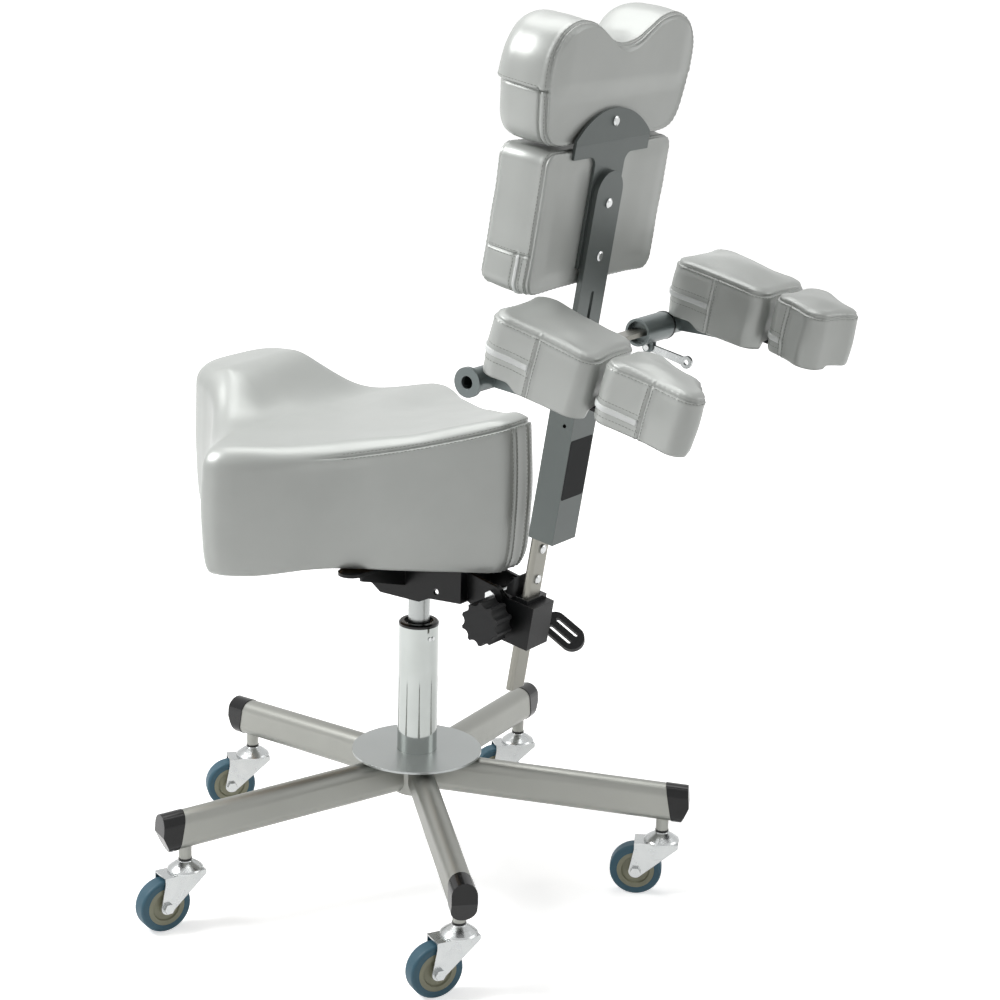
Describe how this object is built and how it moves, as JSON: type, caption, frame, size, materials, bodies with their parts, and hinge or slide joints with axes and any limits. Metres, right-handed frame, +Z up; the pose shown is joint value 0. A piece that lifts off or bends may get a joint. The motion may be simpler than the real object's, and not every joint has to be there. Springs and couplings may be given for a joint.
{
  "type": "swivel saddle stool with body support",
  "caption": "Rolling stool with a height-adjustable saddle seat, a leaning front mast with chest and head pads, and two sliding, swivelling arm rests.",
  "frame": {"origin": "on the floor, on the axis of the gas column", "axes": "+Z up; the user sits facing -Y, towards the mast; -X is the user's right"},
  "size_m": [0.7139, 0.8755, 1.1471],
  "materials": {
    "satin_steel": "satin",
    "chromed_tube": "polished",
    "screw_steel": "polished",
    "black_plastic": "gloss",
    "zinc_steel": "bright zinc plate",
    "tread": "matte",
    "wheel_core": "matte",
    "gas_steel": "fine turned",
    "black_paint": "powder coat",
    "black_grip": "matte",
    "board": "raw plywood",
    "grey_vinyl": "pearl grey upholstery vinyl",
    "tube_steel": "satin",
    "grey_paint": "metallic grey"
  },
  "bodies": {
    "base": {"star_frame": "satin_steel", "hub_disc": "satin_steel", "leg_caps": "black_plastic", "stem_rings": "black_plastic", "column_tube": "chromed_tube", "guide_bush": "black_plastic", "piston_rod": "chromed_tube", "column_screws": "screw_steel"},
    "caster_1": {"fork_1": "zinc_steel"},
    "wheel_1": {"tyre_1": "tread", "wheel_hub_1": "wheel_core"},
    "caster_2": {"fork_2": "zinc_steel"},
    "wheel_2": {"tyre_2": "tread", "wheel_hub_2": "wheel_core"},
    "caster_3": {"fork_3": "zinc_steel"},
    "wheel_3": {"tyre_3": "tread", "wheel_hub_3": "wheel_core"},
    "caster_4": {"fork_4": "zinc_steel"},
    "wheel_4": {"tyre_4": "tread", "wheel_hub_4": "wheel_core"},
    "caster_5": {"fork_5": "zinc_steel"},
    "wheel_5": {"tyre_5": "tread", "wheel_hub_5": "wheel_core"},
    "gas_spring": {"gas_cylinder": "gas_steel"},
    "seat": {"seat_mechanism": "black_paint", "seat_board": "board", "seat_cushion": "grey_vinyl", "seat_bolts": "screw_steel", "pivot_bolt": "screw_steel"},
    "paddle": {"paddle_lever": "black_grip"},
    "mast_bracket": {"mast_clamp": "black_paint", "clamp_insert": "black_plastic", "mast_boot": "black_plastic"},
    "tilt_lock": {"lock_knob": "black_grip"},
    "mast": {"mast_tube": "tube_steel", "tube_screws": "screw_steel", "mast_housing": "grey_paint", "crossbar_block": "grey_paint", "crossbar": "tube_steel", "upper_bar": "grey_paint", "bar_screws": "screw_steel", "head_bracket": "grey_paint", "chest_cushion": "grey_vinyl", "head_cushion": "grey_vinyl"},
    "right_slide": {"right_collar": "grey_paint"},
    "right_lever": {"right_lock_lever": "zinc_steel"},
    "right_arm": {"right_arm_tube": "grey_paint", "right_washer": "black_plastic"},
    "right_elbow": {"right_pad_link": "black_paint", "right_large_pad": "grey_vinyl"},
    "right_hand": {"right_pad_knob": "black_grip", "right_small_pad": "grey_vinyl"},
    "left_slide": {"left_collar": "grey_paint"},
    "left_lever": {"left_lock_lever": "zinc_steel"},
    "left_arm": {"left_arm_tube": "grey_paint", "left_washer": "black_plastic"},
    "left_elbow": {"left_pad_link": "black_paint", "left_large_pad": "grey_vinyl"},
    "left_hand": {"left_pad_knob": "black_grip", "left_small_pad": "grey_vinyl"}
  },
  "joints": [
    {"name": "caster_1_swivel", "type": "hinge", "parent": "base", "child": "caster_1", "pos_m": [0.31956, 0.05923, 0.09], "axis": [0, 0, 1], "continuous": true},
    {"name": "wheel_1_spin", "type": "hinge", "parent": "caster_1", "child": "wheel_1", "pos_m": [0.29504, 0.0798, 0.034], "axis": [-0.6428, -0.766, 0], "continuous": true},
    {"name": "caster_2_swivel", "type": "hinge", "parent": "base", "child": "caster_2", "pos_m": [0.04242, 0.32222, 0.09], "axis": [0, 0, 1], "continuous": true},
    {"name": "wheel_2_spin", "type": "hinge", "parent": "caster_2", "child": "wheel_2", "pos_m": [0.01755, 0.34236, 0.034], "axis": [-0.6293, -0.7771, 0], "continuous": true},
    {"name": "caster_3_swivel", "type": "hinge", "parent": "base", "child": "caster_3", "pos_m": [-0.29334, 0.13992, 0.09], "axis": [0, 0, 1], "continuous": true},
    {"name": "wheel_3_spin", "type": "hinge", "parent": "caster_3", "child": "wheel_3", "pos_m": [-0.32341, 0.15086, 0.034], "axis": [-0.342, -0.9397, 0], "continuous": true},
    {"name": "caster_4_swivel", "type": "hinge", "parent": "base", "child": "caster_4", "pos_m": [-0.22371, -0.23575, 0.09], "axis": [0, 0, 1], "continuous": true},
    {"name": "wheel_4_spin", "type": "hinge", "parent": "caster_4", "child": "wheel_4", "pos_m": [-0.25197, -0.22072, 0.034], "axis": [-0.4695, -0.8829, 0], "continuous": true},
    {"name": "caster_5_swivel", "type": "hinge", "parent": "base", "child": "caster_5", "pos_m": [0.15508, -0.28562, 0.09], "axis": [0, 0, 1], "continuous": true},
    {"name": "wheel_5_spin", "type": "hinge", "parent": "caster_5", "child": "wheel_5", "pos_m": [0.13908, -0.2579, 0.034], "axis": [-0.866, -0.5, 0], "continuous": true},
    {"name": "height", "type": "slide", "parent": "base", "child": "gas_spring", "axis": [0, 0, 1], "range_m": [-0.035, 0.075]},
    {"name": "seat_turn", "type": "hinge", "parent": "gas_spring", "child": "seat", "pos_m": [0, 0, 0.43], "axis": [0, 0, 1], "continuous": true},
    {"name": "paddle_lift", "type": "hinge", "parent": "seat", "child": "paddle", "pos_m": [0.05, -0.112, 0.415], "axis": [1, 0, 0], "range_deg": [-18, 0], "stiffness_Nm_per_rad": 1.5, "springref_deg": 5.73},
    {"name": "mast_tilt", "type": "hinge", "parent": "seat", "child": "mast_bracket", "pos_m": [0, -0.134, 0.425], "axis": [1, 0, 0], "range_deg": [-5, 8]},
    {"name": "tilt_lock_turn", "type": "hinge", "parent": "mast_bracket", "child": "tilt_lock", "pos_m": [0, -0.142, 0.399], "axis": [1, 0, 0], "continuous": true},
    {"name": "mast_height", "type": "slide", "parent": "mast_bracket", "child": "mast", "axis": [0, -0.1575, 0.9875], "range_m": [-0.015, 0.045]},
    {"name": "right_arm_slide", "type": "slide", "parent": "mast", "child": "right_slide", "axis": [-1, 0, 0], "range_m": [-0.019, 0.083]},
    {"name": "right_lever_swing", "type": "hinge", "parent": "right_slide", "child": "right_lever", "pos_m": [-0.081, -0.229, 0.7235], "axis": [1, 0, 0], "range_deg": [0, 50]},
    {"name": "right_arm_pitch", "type": "hinge", "parent": "right_slide", "child": "right_arm", "pos_m": [-0.119, -0.229, 0.746], "axis": [1, 0, 0], "range_deg": [-5, 40]},
    {"name": "right_pad_swivel", "type": "hinge", "parent": "right_arm", "child": "right_elbow", "pos_m": [-0.16, -0.27461, 0.7462], "axis": [0, -0.2588, 0.9659], "range_deg": [-12, 8]},
    {"name": "right_hand_swivel", "type": "hinge", "parent": "right_elbow", "child": "right_hand", "pos_m": [-0.14989, -0.38623, 0.71629], "axis": [0, -0.2588, 0.9659], "range_deg": [-2, 2]},
    {"name": "left_arm_slide", "type": "slide", "parent": "mast", "child": "left_slide", "axis": [1, 0, 0], "range_m": [-0.102, 0]},
    {"name": "left_lever_swing", "type": "hinge", "parent": "left_slide", "child": "left_lever", "pos_m": [0.164, -0.229, 0.7235], "axis": [1, 0, 0], "range_deg": [0, 50]},
    {"name": "left_arm_pitch", "type": "hinge", "parent": "left_slide", "child": "left_arm", "pos_m": [0.202, -0.229, 0.746], "axis": [1, 0, 0], "range_deg": [-3, 40]},
    {"name": "left_pad_swivel", "type": "hinge", "parent": "left_arm", "child": "left_elbow", "pos_m": [0.243, -0.27442, 0.75018], "axis": [0, 0.1736, -0.9848], "range_deg": [-12, 8]},
    {"name": "left_hand_swivel", "type": "hinge", "parent": "left_elbow", "child": "left_hand", "pos_m": [0.23895, -0.38858, 0.73005], "axis": [0, -0.1736, 0.9848], "range_deg": [-2, 2]}
  ]
}
